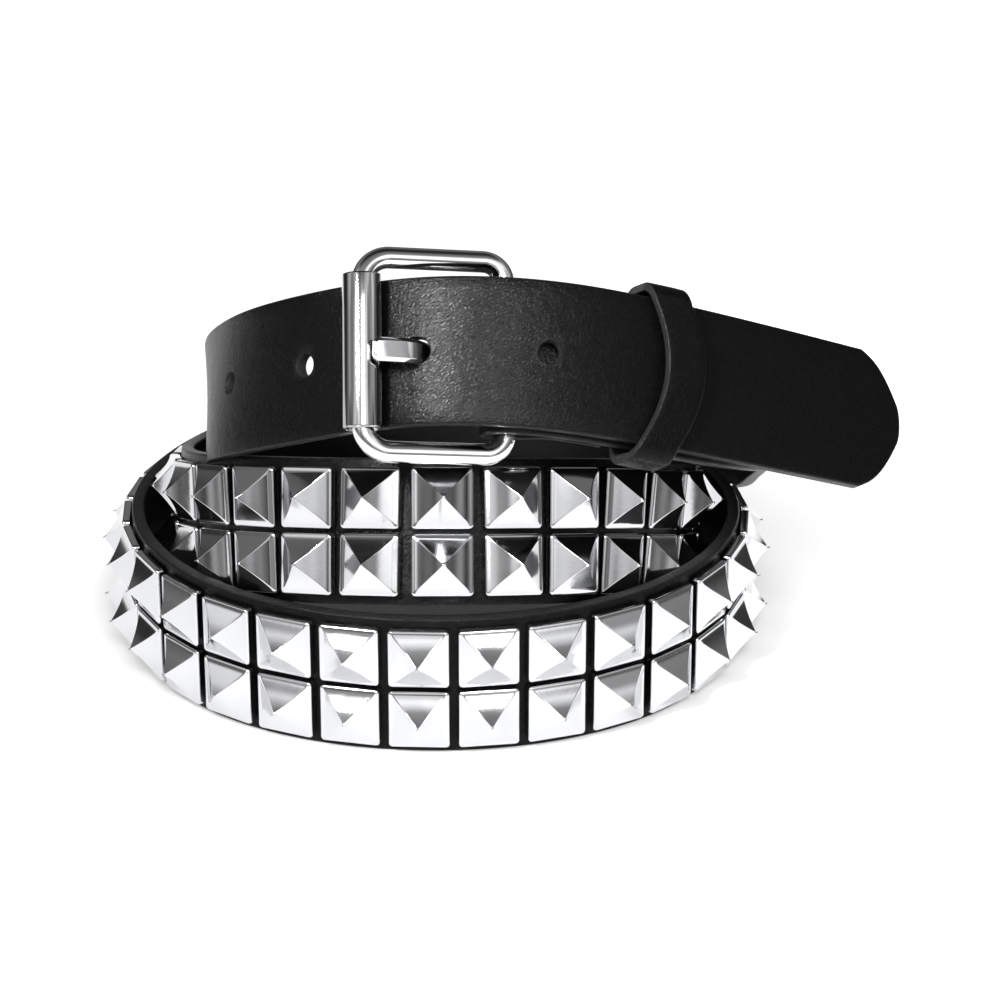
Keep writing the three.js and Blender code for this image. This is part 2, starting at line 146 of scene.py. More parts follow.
def spline(x, y, level_start=False, level_end=False):
    x, y = np.asarray(x, float), np.asarray(y, float)
    n = len(x)
    h = np.diff(x)
    s = np.diff(y) / h
    m, c, d = np.zeros(n), np.zeros(n), np.zeros(n)
    if level_start:
        c[0], d[0] = 0.5, 3 * s[0] / h[0]
    for i in range(1, n - 1):
        q = 2 * (h[i - 1] + h[i]) - h[i - 1] * c[i - 1]
        c[i] = h[i] / q
        d[i] = (6 * (s[i] - s[i - 1]) - h[i - 1] * d[i - 1]) / q
    if level_end:
        m[n - 1] = (-6 * s[n - 2] - h[n - 2] * d[n - 2]) / (2 * h[n - 2] - h[n - 2] * c[n - 2])
    for i in range(n - 2, (-1 if level_start else 0), -1):
        m[i] = d[i] - c[i] * m[i + 1]

    def f(t):
        t = np.asarray(t, float)
        i = np.clip(np.searchsorted(x, t, side="left") - 1, 0, n - 2)
        hh = x[i + 1] - x[i]
        a = (x[i + 1] - t) / hh
        b = (t - x[i]) / hh
        return a * y[i] + b * y[i + 1] + ((a**3 - a) * m[i] + (b**3 - b) * m[i + 1]) * hh * hh / 6

    return f


# ------------------------------------------------------------------ the strap's middle line
ang = np.radians(COIL[:, 0])
KNOTS = np.stack([COIL[:, 1] * np.sin(ang), -COIL[:, 1] * np.cos(ang), COIL[:, 2]], 1)
chord = np.concatenate([[0], np.cumsum(np.linalg.norm(np.diff(KNOTS, axis=0), axis=1))])
sx, sy = spline(chord, KNOTS[:, 0]), spline(chord, KNOTS[:, 1])
down = int(np.where(COIL[:, 0] == STANDS_FROM)[0][0])
up = int(np.where(COIL[:, 0] == STANDS_TO)[0][0])


def resting(values):
    before = spline(chord[:down + 1], values[:down + 1], False, True)
    after = spline(chord[up:], values[up:], True, False)
    return lambda t: np.where(t <= chord[down], before(t), np.where(t >= chord[up], after(t), values[down]))


sz, slean = resting(COIL[:, 2]), resting(COIL[:, 3])


def point_at(t):
    return np.stack([sx(t), sy(t), sz(t)], -1)


FINE = np.linspace(0, chord[-1], 4001)
ARC = np.concatenate([[0], np.cumsum(np.linalg.norm(np.diff(point_at(FINE), axis=0), axis=1))])

FA = unit(FOLD_BAR - ROLLER_AXIS)
FW = unit(ROD_DIRECTION - ROD_DIRECTION.dot(FA) * FA)
FN = np.cross(FA, FW)


def along(s):
    """Middle, tangent, across and outward directions of the strap at distances s from the fold, in mm."""
    s = np.atleast_1d(np.asarray(s, float))
    q = np.interp(s, ARC, FINE)
    t = unit(point_at(q + 0.05) - point_at(q - 0.05))
    w0 = np.array([0, 0, 1.0]) - t[:, 2:3] * t
    w0 = unit(w0)
    n0 = np.cross(t, w0)
    lean = np.radians(slean(q))[:, None]
    w = w0 * np.cos(lean) - n0 * np.sin(lean)
    turn = (1 - smooth(s / FOLD_ALIGN))[:, None]
    w = np.where(s[:, None] < FOLD_ALIGN, unit(w * (1 - turn) + FW * turn), w)
    n = unit(np.cross(t, w))
    return point_at(q), np.cross(w, n), w, n


C0, T0, W0, N0 = (a[0] for a in along(0.0))
FOLD_RADIUS = ROD_DIA / 2 + GAP + K
BAR = C0 - FOLD_RADIUS * N0
FOLD_ARC = math.pi * FOLD_RADIUS


def path(p):
    """As along(), for the whole strap: p runs below 0 round the fold bar and back along the fold-back."""
    p = np.atleast_1d(np.asarray(p, float))
    c, t, w, n = along(np.clip(p, 0, None))
    d = np.clip(-p - FOLD_ARC, 0, None)
    tc, tt, tw, tn = along(d)
    shut = STRAP_THICK + GAP + 0.1
    off = 2 * FOLD_RADIUS + (shut - 2 * FOLD_RADIUS) * smooth(d / TAB_MERGE)
    tab = (-p > FOLD_ARC)[:, None]
    a = np.clip(-p / FOLD_RADIUS, 0, math.pi)[:, None]
    an = N0 * np.cos(a) - T0 * np.sin(a)
    bend = ((p < 0) & (-p <= FOLD_ARC))[:, None]
    c = np.where(tab, tc - off[:, None] * tn, np.where(bend, BAR + FOLD_RADIUS * an, c))
    w = np.where(tab, tw, np.where(bend, W0, w))
    n = np.where(tab, -tn, np.where(bend, an, n))
    return c, np.cross(w, n), w, n


P_START = -FOLD_ARC - TAB_LENGTH
TABLE_P = np.arange(P_START - 1, STRAP_LENGTH + 2, 0.25)
TABLE_C, TABLE_T, TABLE_W, TABLE_N = path(TABLE_P)


def onto_strap(co):
    """Maps points (distance along, across, out) in mm onto the coil, in metres in the row frame."""
    co = np.asarray(co, float)
    x = (co[:, 0] - TABLE_P[0]) / 0.25
    i = np.clip(x.astype(int), 0, len(TABLE_P) - 2)
    f = (x - i)[:, None]
    mix = lambda a: a[i] * (1 - f) + a[i + 1] * f
    w, n = unit(mix(TABLE_W)), unit(mix(TABLE_N))
    return (mix(TABLE_C) + w * co[:, 1:2] + n * co[:, 2:3] - MIDDLE) * MM


def half_width(p):
    d = STRAP_LENGTH - np.asarray(p, float)
    return np.where(d >= POINT[-1, 0], H, POINT_WIDTH(np.sqrt(np.clip(d, 0, POINT[-1, 0]))))


POINT_WIDTH = spline(POINT[:, 0] ** 0.5, POINT[:, 1])


# ------------------------------------------------------------------ mesh helpers
def new_mesh(name, verts, faces, sharp=None):
    me = bpy.data.meshes.new(name)
    me.from_pydata([tuple(v) for v in np.asarray(verts, float)], [], [tuple(int(i) for i in f) for f in faces])
    me.validate()
    ob = bpy.data.objects.new(name, me)
    bpy.context.scene.collection.objects.link(ob)
    finish_mesh(ob, sharp)
    return ob


def finish_mesh(ob, sharp):
    bm = bmesh.new()
    bm.from_mesh(ob.data)
    bmesh.ops.recalc_face_normals(bm, faces=bm.faces)
    if bm.calc_volume(signed=True) < 0:
        bmesh.ops.reverse_faces(bm, faces=bm.faces)
    bm.to_mesh(ob.data)
    bm.free()
    for p in ob.data.polygons:
        p.use_smooth = True
    if sharp is not None:
        ob.data.set_sharp_from_angle(angle=math.radians(sharp))


def loft_faces(rings, count, closed=False, base=0):
    faces = []
    last = rings if closed else rings - 1
    for i in range(last):
        a = base + i * count
        b = base + ((i + 1) % rings) * count
        for k in range(count):
            l = (k + 1) % count
            faces.append((a + k, a + l, b + l, b + k))
    if not closed:
        faces.append(tuple(base + k for k in range(count))[::-1])
        faces.append(tuple(base + (rings - 1) * count + k for k in range(count)))
    return faces


def rounded_profile(half, thick, r_out, r_in, across, dome=0.0, steps=3):
    """A strap's section (across, out): flat faces, rounded edges; listed all the way round."""
    pts = []
    h, k = half, thick

    def arc(cy, cz, r, a0):
        for i in range(steps + 1):
            a = math.radians(a0 + 90 * i / steps)
            pts.append((cy + r * math.cos(a), cz + r * math.sin(a)))

    r_out, r_in = min(r_out, h * 0.9), min(r_in, h * 0.9)
    arc(h - r_out, k - r_out, r_out, 0)
    for i in range(1, across):
        v = (h - r_out) * (1 - 2 * i / across)
        pts.append((v, k + dome * (1 - (v / h) ** 2)))
    arc(-h + r_out, k - r_out, r_out, 90)
    arc(-h + r_in, -k + r_in, r_in, 180)
    for i in range(1, across):
        v = -(h - r_in) * (1 - 2 * i / across)
        pts.append((v, -k))
    arc(h - r_in, -k + r_in, r_in, 270)
    return np.array(pts)


def modifier_applied(ob):
    dg = bpy.context.evaluated_depsgraph_get()
    me = bpy.data.meshes.new_from_object(ob.evaluated_get(dg))
    ob.modifiers.clear()
    old = ob.data
    ob.data = me
    bpy.data.meshes.remove(old)


def point_attribute(ob, name, values):
    at = ob.data.attributes.new(name, "FLOAT_VECTOR", "POINT")
    at.data.foreach_set("vector", np.asarray(values, np.float32).ravel())


# ------------------------------------------------------------------ materials
def nodes_of(name):
    mat = bpy.data.materials.new(name)
    mat.use_nodes = True
    nt = mat.node_tree
    return mat, nt, nt.nodes["Principled BSDF"]


def link(nt, a, b):
    nt.links.new(a, b)


def node(nt, kind, **props):
    n = nt.nodes.new(kind)
    for k, v in props.items():
        setattr(n, k, v)
    return n


def ramp(nt, source, stops, interpolation="LINEAR"):
    r = node(nt, "ShaderNodeValToRGB")
    r.color_ramp.interpolation = interpolation
    e = r.color_ramp.elements
    while len(e) < len(stops):
        e.new(0.5)
    for el, (pos, value) in zip(e, stops):
        el.position = pos
        el.color = (value, value, value, 1) if not hasattr(value, "__len__") else (*value, 1)
    link(nt, source, r.inputs["Fac"])
    return r.outputs["Color"]


def maths(nt, op, a, b=None, clamp=False):
    m = node(nt, "ShaderNodeMath", operation=op, use_clamp=clamp)
    for i, v in enumerate((a, b)):
        if v is None:
            continue
        if isinstance(v, (int, float)):
            m.inputs[i].default_value = v
        else:
            link(nt, v, m.inputs[i])
    return m.outputs[0]


def leather_material(name, coords):
    """Black finished leather: pebbled grain, faint creases with a painted shade in their hollows, and a lighter colour
    along its cut edges that is partly wear and partly a painted highlight.
    """
    mat, nt, bsdf = nodes_of(name)
    bsdf.inputs["Specular IOR Level"].default_value = 0.55
    bsdf.inputs["IOR"].default_value = 1.2
    bsdf.inputs["Metallic"].default_value = 0.0
    bsdf.inputs["Coat Weight"].default_value = 0.0
    at = node(nt, "ShaderNodeAttribute", attribute_name=coords)
    where = at.outputs["Vector"]
    stretch = node(nt, "ShaderNodeMapping", vector_type="TEXTURE")
    stretch.inputs["Scale"].default_value = (1.15, 0.48, 0.7)
    stretch.inputs["Rotation"].default_value = (0, 0, 0.66)
    link(nt, where, stretch.inputs["Vector"])
    warp = node(nt, "ShaderNodeTexNoise")
    warp.inputs["Scale"].default_value = 0.9
    warp.inputs["Detail"].default_value = 2.0
    link(nt, where, warp.inputs["Vector"])
    mixed = node(nt, "ShaderNodeMixRGB", blend_type="LINEAR_LIGHT")
    mixed.inputs["Fac"].default_value = 0.35
    link(nt, stretch.outputs[0], mixed.inputs["Color1"])
    link(nt, warp.outputs["Color"], mixed.inputs["Color2"])
    cells = node(nt, "ShaderNodeTexVoronoi", feature="DISTANCE_TO_EDGE")
    cells.inputs["Scale"].default_value = 0.95
    link(nt, mixed.outputs["Color"], cells.inputs["Vector"])
    pebble = ramp(nt, cells.outputs["Distance"], [(0.0, 0.0), (0.10, 0.6), (0.34, 1.0)], "EASE")
    fine = node(nt, "ShaderNodeTexNoise")
    fine.inputs["Scale"].default_value = 1.6
    fine.inputs["Detail"].default_value = 5.0
    fine.inputs["Roughness"].default_value = 0.62
    link(nt, stretch.outputs[0], fine.inputs["Vector"])
    crease = node(nt, "ShaderNodeTexNoise")
    crease.inputs["Scale"].default_value = 0.28
    crease.inputs["Detail"].default_value = 3.0
    link(nt, where, crease.inputs["Vector"])
    b1 = node(nt, "ShaderNodeBump")
    b1.inputs["Strength"].default_value = 0.55
    b1.inputs["Distance"].default_value = 0.000085
    link(nt, pebble, b1.inputs["Height"])
    b2 = node(nt, "ShaderNodeBump")
    b2.inputs["Strength"].default_value = 0.35
    b2.inputs["Distance"].default_value = 0.00006
    link(nt, fine.outputs["Fac"], b2.inputs["Height"])
    link(nt, b1.outputs["Normal"], b2.inputs["Normal"])
    b3 = node(nt, "ShaderNodeBump")
    b3.inputs["Strength"].default_value = 0.25
    b3.inputs["Distance"].default_value = 0.0006
    link(nt, crease.outputs["Fac"], b3.inputs["Height"])
    link(nt, b2.outputs["Normal"], b3.inputs["Normal"])
    link(nt, b3.outputs["Normal"], bsdf.inputs["Normal"])
    # cut edges: 0 on the faces, 1 on the edge; the lighter edge colour is partly wear and partly a painted highlight
    ed = node(nt, "ShaderNodeAttribute", attribute_name="edge_wear_and_highlight")
    sep = node(nt, "ShaderNodeSeparateXYZ")
    link(nt, ed.outputs["Vector"], sep.inputs[0])
    edge = ramp(nt, sep.outputs["X"], [(0.0, 0.0), (0.55, 0.25), (1.0, 1.0)])
    flesh = ramp(nt, sep.outputs["Y"], [(0.0, 0.0), (1.0, 1.0)])
    # base colour darker where the crease bump is low: a painted shade in the crease hollows
    tone = node(nt, "ShaderNodeMixRGB")
    tone.inputs["Color1"].default_value = (0.0012, 0.0012, 0.0013, 1)
    tone.inputs["Color2"].default_value = (0.0020, 0.0020, 0.0021, 1)
    link(nt, crease.outputs["Fac"], tone.inputs["Fac"])
    # lighter colour on the cut edges: partly edge wear, partly a painted highlight along the edge bevels
    worn_and_highlight = node(nt, "ShaderNodeMixRGB")
    worn_and_highlight.inputs["Color2"].default_value = (0.018, 0.018, 0.019, 1)
    link(nt, edge, worn_and_highlight.inputs["Fac"])
    link(nt, tone.outputs["Color"], worn_and_highlight.inputs["Color1"])
    back = node(nt, "ShaderNodeMixRGB")
    back.inputs["Color2"].default_value = (0.004, 0.0038, 0.0038, 1)
    link(nt, flesh, back.inputs["Fac"])
    link(nt, worn_and_highlight.outputs["Color"], back.inputs["Color1"])
    link(nt, back.outputs["Color"], bsdf.inputs["Base Color"])
    rough = node(nt, "ShaderNodeMapRange")
    rough.inputs["From Min"].default_value = 0.3
    rough.inputs["From Max"].default_value = 0.7
    rough.inputs["To Min"].default_value = 0.25
    rough.inputs["To Max"].default_value = 0.34
    link(nt, fine.outputs["Fac"], rough.inputs["Value"])
    link(nt, maths(nt, "ADD", maths(nt, "MULTIPLY", flesh, 0.25), rough.outputs["Result"]), bsdf.inputs["Roughness"])
    return mat


def chrome_material(name, tint, low, high, scratch=0.00001, scale=900.0):
    """Bright plated metal with faint polishing marks and haze."""
    mat, nt, bsdf = nodes_of(name)
    bsdf.inputs["Metallic"].default_value = 1.0
    geo = node(nt, "ShaderNodeTexCoord")
    haze = node(nt, "ShaderNodeTexNoise")
    haze.inputs["Scale"].default_value = 160.0
    haze.inputs["Detail"].default_value = 4.0
    link(nt, geo.outputs["Object"], haze.inputs["Vector"])
    fine = node(nt, "ShaderNodeTexNoise")
    fine.inputs["Scale"].default_value = scale
    fine.inputs["Detail"].default_value = 3.0
    link(nt, geo.outputs["Object"], fine.inputs["Vector"])
    rough = node(nt, "ShaderNodeMapRange")
    rough.inputs["From Min"].default_value = 0.3
    rough.inputs["From Max"].default_value = 0.7
    rough.inputs["To Min"].default_value = low
    rough.inputs["To Max"].default_value = high
    link(nt, haze.outputs["Fac"], rough.inputs["Value"])
    link(nt, rough.outputs["Result"], bsdf.inputs["Roughness"])
    col = node(nt, "ShaderNodeMixRGB")
    col.inputs["Color1"].default_value = (*tint, 1)
    col.inputs["Color2"].default_value = (*(c * 0.93 for c in tint), 1)
    link(nt, haze.outputs["Fac"], col.inputs["Fac"])
    link(nt, col.outputs["Color"], bsdf.inputs["Base Color"])
    bump = node(nt, "ShaderNodeBump")
    bump.inputs["Strength"].default_value = 0.5
    bump.inputs["Distance"].default_value = scratch
    link(nt, fine.outputs["Fac"], bump.inputs["Height"])
    link(nt, bump.outputs["Normal"], bsdf.inputs["Normal"])
    return mat


LEATHER = leather_material("black_leather", "strap_mm")
CHROME = chrome_material("chrome_polished", (0.83, 0.835, 0.85), 0.05, 0.10)
STUD_CHROME = chrome_material("stud_chrome", (0.71, 0.715, 0.73), 0.07, 0.13, scratch=0.000012)


def roller_material(name):
    """Bright steel tube; its base colour carries painted reflection streaks, darker and lighter round the tube, that
    run along it.
    """
    mat, nt, bsdf = nodes_of(name)
    bsdf.inputs["Metallic"].default_value = 1.0
    at = node(nt, "ShaderNodeAttribute", attribute_name="round_mm")
    wide = node(nt, "ShaderNodeTexNoise")
    wide.inputs["Scale"].default_value = 0.62
    wide.inputs["Detail"].default_value = 3.0
    wide.inputs["Roughness"].default_value = 0.55
    link(nt, at.outputs["Vector"], wide.inputs["Vector"])
    # dark and light base colour round the tube: painted reflection streaks
    tone = ramp(nt, wide.outputs["Fac"], [(0.30, 0.14), (0.42, 0.36), (0.52, 0.46), (0.62, 0.74)])
    link(nt, tone, bsdf.inputs["Base Color"])
    rough = node(nt, "ShaderNodeMapRange")
    rough.inputs["To Min"].default_value = 0.06
    rough.inputs["To Max"].default_value = 0.11
    link(nt, wide.outputs["Fac"], rough.inputs["Value"])
    link(nt, rough.outputs["Result"], bsdf.inputs["Roughness"])
    return mat


ROLLER_STEEL = roller_material("roller_steel")


# ------------------------------------------------------------------ strap
def cutter(name, profile, at_p, stretch=0.0, across=0.0):
    """A round or long punch through the flat strap. profile: (radius, height) rows."""
    sides = 40
    verts = []
    for r, z in profile:
        for k in range(sides):
            a = 2 * math.pi * k / sides
            x = r * math.cos(a)
            verts.append((at_p + x + math.copysign(stretch, x), across + r * math.sin(a), z))
    faces = loft_faces(len(profile), sides)
    ob = new_mesh(name, verts, faces)
    return ob


def punch(r):
    return [(r + 0.75, -2.4), (r + 0.08, -1.35), (r, -1.1), (r, 1.1), (r + 0.10, 1.38), (r + 0.85, 2.4)]


stations = [P_START + 0.35]
while stations[-1] < STRAP_LENGTH - POINT[-1, 0] - 1.2:
    p = stations[-1]
    step = 0.9 if p < 4 else 1.7
    stations.append(p + step)
stations += list(STRAP_LENGTH - np.array([10.8, 9.6, 8.4, 7.4, 6.3, 5.2, 4.2, 3.4, 2.7, 2.1, 1.6, 1.2, 0.85, 0.55, 0.3, 0.1]))
stations = np.array(stations)
flat = []
for i, p in enumerate(stations):
    h = float(half_width(p))
    d = min(STRAP_LENGTH - p, p - P_START)
    k = K * (1 if d > 0.7 else 0.72 + 0.4 * d)
    prof = rounded_profile(h, k, 0.55, 0.45, 12, dome=0.12 * (k / K))
    flat.append(np.column_stack([np.full(len(prof), p), prof]))
count = len(flat[0])
strap = new_mesh("strap_leather", np.vstack(flat), loft_faces(len(flat), count))
tools = [cutter("punch_%d" % (i + 3), punch(HOLE_DIA / 2), PRONG_HOLE_AT + i * HOLE_PITCH, across=HOLE_ACROSS) for i in HOLES]
tools.append(cutter("punch_prong", punch(2.8), PRONG_HOLE_AT + 0.05, stretch=0.1))
tools.append(cutter("punch_slot", punch(SLOT_WIDTH / 2), -FOLD_ARC / 2, stretch=FOLD_ARC / 2 + SLOT_END - SLOT_WIDTH / 2))
for t in tools:
    m = strap.modifiers.new(t.name, "BOOLEAN")
    m.operation = "DIFFERENCE"
    m.solver = "EXACT"
    m.object = t
modifier_applied(strap)
for t in tools:
    bpy.data.objects.remove(t)
bm = bmesh.new()
bm.from_mesh(strap.data)
bmesh.ops.triangulate(bm, faces=[f for f in bm.faces if len(f.verts) > 4])
bm.to_mesh(strap.data)
bm.free()
co = np.empty(len(strap.data.vertices) * 3)
strap.data.vertices.foreach_get("co", co)
co = co.reshape(-1, 3)
point_attribute(strap, "strap_mm", co)
hw = half_width(co[:, 0])
rim = np.minimum(hw - np.abs(co[:, 1]), np.minimum(co[:, 0] - P_START, 99))
holes_at = [PRONG_HOLE_AT + i * HOLE_PITCH for i in HOLES]
for hp in holes_at:
    rim = np.minimum(rim, np.hypot(co[:, 0] - hp, co[:, 1] - HOLE_ACROSS) - HOLE_DIA / 2)
# edge_v marks the cut edges for the lighter edge colour, partly wear and partly a painted highlight
edge_v = np.clip(1 - rim / 0.55, 0, 1)
flesh_v = np.clip((-co[:, 2] - K + 0.5) / 0.5, 0, 1)
point_attribute(strap, "edge_wear_and_highlight", np.column_stack([edge_v, flesh_v, np.zeros(len(co))]))
strap.data.vertices.foreach_set("co", onto_strap(co).ravel())
finish_mesh(strap, 32)
strap.data.materials.clear()
strap.data.materials.append(LEATHER)
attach(strap, "belt")
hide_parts("belt_strap")


# ------------------------------------------------------------------ studs
def stud_template():
    # half side, height over the leather, corner radius
    a, k = STUD_SIDE / 2, STUD_SKIRT
    rows = [
        (a - 0.42, 0.10, 0.62), (a - 0.09, 0.12, 0.80), (a, 0.30, 0.86), (a, k - 0.72, 0.86), (a - 0.03, k - 0.46, 0.84),
        (a - 0.13, k - 0.26, 0.78), (a - 0.33, k - 0.13, 0.68), (a - 0.62, k - 0.04, 0.56), (a - 1.0, k + 0.08, 0.46),
    ]
    # the pyramid's sides, ever steeper towards its point
    x, z = a - 1.0, k + 0.08
    for step in (0.5, 0.6, 0.6, 0.6, 0.6, 0.6, 0.6, 0.6, 0.55, 0.45, 0.25):
        slope = math.radians(30 + 17.5 * (a - 1.0 - x + step / 2) / (a - 1.0))
        x, z = x - step, z + step * math.tan(slope)
        rows.append((x, z, max(0.10, 0.40 - 0.075 * (a - 1.0 - x))))
    rows.append((0.12, z + 0.09, 0.08))
    steps = 3
    verts, faces = [], []
    n = 4 * (steps + 1)
    for a, z, r in rows:
        for q in range(4):
            cx = (a - r) * (1 if q in (0, 3) else -1)
            cy = (a - r) * (1 if q in (0, 1) else -1)
            for i in range(steps + 1):
                t = math.radians(90 * q + 90 * i / steps)
                verts.append((cx + r * math.cos(t), cy + r * math.sin(t), z))
    faces = loft_faces(len(rows), n)
    return np.array(verts), faces


STUD_V, STUD_F = stud_template()
seat = K + 0.02
run = 0
for first in range(STUD_FIRST, STUD_LAST + 1, STUD_RUN):
    run += 1
    verts, faces = [], []
    for c in range(first, min(first + STUD_RUN, STUD_LAST + 1)):
        s = STUD_PHASE + c * STUD_PITCH
        C, T, W, N = (a[0] for a in along(s))
        for row in (-0.5, 0.5):
            o = C + W * row * STUD_ROW_PITCH + N * (seat + 0.2) - MIDDLE
            pts = o + STUD_V[:, 0:1] * T + STUD_V[:, 1:2] * W + STUD_V[:, 2:3] * N
            base = len(verts)
            verts.extend(pts * MM)
            faces.extend(tuple(base + i for i in f) for f in STUD_F)
    ob = new_mesh("studs_%02d" % run, verts, faces, None)
    wn = ob.modifiers.new("wn", "WEIGHTED_NORMAL")
    wn.mode = "FACE_AREA"
    wn.weight = 60
    ob.data.materials.append(STUD_CHROME)
    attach(ob, "belt")
    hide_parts("stud_run_%02d" % run)


# ------------------------------------------------------------------ buckle
def in_buckle(pts):
    pts = np.asarray(pts, float)
    return (ROLLER_AXIS + pts[:, 0:1] * FA + pts[:, 1:2] * FW + pts[:, 2:3] * FN - MIDDLE) * MM


def frame_mesh():
    L, B, r = FRAME_LENGTH, FRAME_WIDTH / 2, ROD_DIA / 2
    corners = [
        (L - FRAME_CORNER_BAR, B - FRAME_CORNER_BAR, FRAME_CORNER_BAR, 0),
        (FRAME_CORNER_FRONT, B - FRAME_CORNER_FRONT, FRAME_CORNER_FRONT, 90),
        (FRAME_CORNER_FRONT, -B + FRAME_CORNER_FRONT, FRAME_CORNER_FRONT, 180),
        (L - FRAME_CORNER_BAR, -B + FRAME_CORNER_BAR, FRAME_CORNER_BAR, 270),
    ]
    steps, sides, rows = 14, 28, []
    for cx, cy, rc, a0 in corners:
        for i in range(steps + 1):
            a = math.radians(a0 + 90 * i / steps)
            for k in range(sides):
                b = 2 * math.pi * k / sides
                d = rc + r * math.cos(b)
                rows.append((cx + d * math.cos(a), cy + d * math.sin(a), r * math.sin(b)))
    return in_buckle(rows), loft_faces(4 * (steps + 1), sides, closed=True)


def lathe(profile, sides, axis_point, axis, side):
    """profile: (radius, along) rows round axis; closed when its first and last rows are one."""
    axis, side = unit(axis), unit(side)
    other = np.cross(axis, side)
    rows = profile[:-1] if profile[0] == profile[-1] else profile
    closed = len(rows) != len(profile)
    verts = []
    for k in range(sides):
        a = 2 * math.pi * k / sides
        for r, z in rows:
            verts.append(axis_point + axis * z + r * (math.cos(a) * side + math.sin(a) * other))
    n = len(rows)
    faces = []
    for k in range(sides):
        l = (k + 1) % sides
        for i in range(n if closed else n - 1):
            j = (i + 1) % n
            faces.append((k * n + i, k * n + j, l * n + j, l * n + i))
    if not closed:
        faces.append(tuple(k * n for k in range(sides)))
        faces.append(tuple(k * n + n - 1 for k in range(sides))[::-1])
    return (np.array(verts) - MIDDLE) * MM, faces


fv, ff = frame_mesh()
buckle = new_mesh("buckle_rod", fv, ff)
buckle.data.materials.append(CHROME)
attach(buckle, "belt")
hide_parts("buckle_frame")

hl, ro, ri, rc = ROLLER_LENGTH / 2, ROLLER_DIA / 2, ROLLER_BORE / 2, 0.45
prof = [(ri, -hl + 0.15), (ri + 0.15, -hl)]
prof += [(ro - rc + rc * math.sin(math.radians(a)), -hl + rc - rc * math.cos(math.radians(a))) for a in range(0, 91, 18)]
prof += [(ro, -hl * 0.5), (ro, 0), (ro, hl * 0.5)]
prof += [(ro - rc + rc * math.cos(math.radians(a)), hl - rc + rc * math.sin(math.radians(a))) for a in range(0, 91, 18)]
prof += [(ri + 0.15, hl), (ri, hl - 0.15), (ri, -hl + 0.15)]
rv, rf = lathe(prof, 64, ROLLER_AXIS + ROLLER_SHIFT * FW, FW, FA)
roller = new_mesh("roller_tube", rv, rf, 50)
per = len(rv) // 64
turns = np.repeat(np.arange(64) * 2 * math.pi / 64, per)
lie = (np.array(rv) / MM + MIDDLE - ROLLER_AXIS) @ FW
point_attribute(roller, "round_mm", np.column_stack([ro * np.cos(turns), ro * np.sin(turns), lie * 0.02]))
roller.data.materials.append(ROLLER_STEEL)
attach(roller, "roller")
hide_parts("buckle_roller")


def prong_mesh():
    idx = np.arange(len(PRONG_LINE))
    px, py = spline(idx, PRONG_LINE[:, 0]), spline(idx, PRONG_LINE[:, 1])
    n = len(PRONG_LINE) - 1
    us = list(np.linspace(0, n - 0.30, 52)) + [n - 0.22, n - 0.15, n - 0.09, n - 0.045, n - 0.015, n]
    rows = []
    for u in us:
        x, y = float(px(u)), float(py(u))
        dx, dy = float(px(u + 0.01) - px(u - 0.01)), float(py(u + 0.01) - py(u - 0.01))
        l = math.hypot(dx, dy)
        nx, ny = dy / l, -dx / l
        end = max(0.0, 1 - (n - u) / 0.30)
        q = math.sqrt(max(0.0, 1 - end ** 2))
        hw_ = PRONG_WIDTH / 2 * (0.62 + 0.38 * q)
        ht = PRONG_THICK / 2 * (0.45 + 0.55 * q)
        b, c = min(0.95, ht * 1.0), 0.35
        sec = [
            (-hw_ + c, -ht), (-hw_, -ht + c), (-hw_, ht - b - 0.05), (-hw_ + 0.12, ht - b + 0.16), (-hw_ + b - 0.16, ht - 0.10), (-hw_ + b + 0.08, ht),
            (hw_ - b - 0.08, ht), (hw_ - b + 0.16, ht - 0.10), (hw_ - 0.12, ht - b + 0.16), (hw_, ht - b - 0.05), (hw_, -ht + c), (hw_ - c, -ht),
        ]
        rows += [(x + nx * k_, v, y + ny * k_) for v, k_ in sec]
    return in_buckle(rows), loft_faces(len(us), 12)


pv, pf = prong_mesh()
prong = new_mesh("prong_bar", pv, pf, 60)
wn = prong.modifiers.new("wn", "WEIGHTED_NORMAL")
wn.keep_sharp = True
prong.data.materials.append(CHROME)
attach(prong, "belt")
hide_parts("buckle_prong")
a_, b_, h_ = PRONG_EYE_BORE / 2, PRONG_EYE_DIA / 2, PRONG_WIDTH / 2
eye_prof = [(a_, -h_ + 0.2), (a_ + 0.2, -h_), (b_ - 0.35, -h_), (b_, -h_ + 0.35), (b_, h_ - 0.35), (b_ - 0.35, h_), (a_ + 0.2, h_), (a_, h_ - 0.2), (a_, -h_ + 0.2)]
ev, ef = lathe(eye_prof, 48, ROLLER_AXIS + FRAME_LENGTH * FA, FW, FA)
eye = new_mesh("prong_eye", ev, ef, 40)
eye.data.materials.append(CHROME)
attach(eye, "belt")


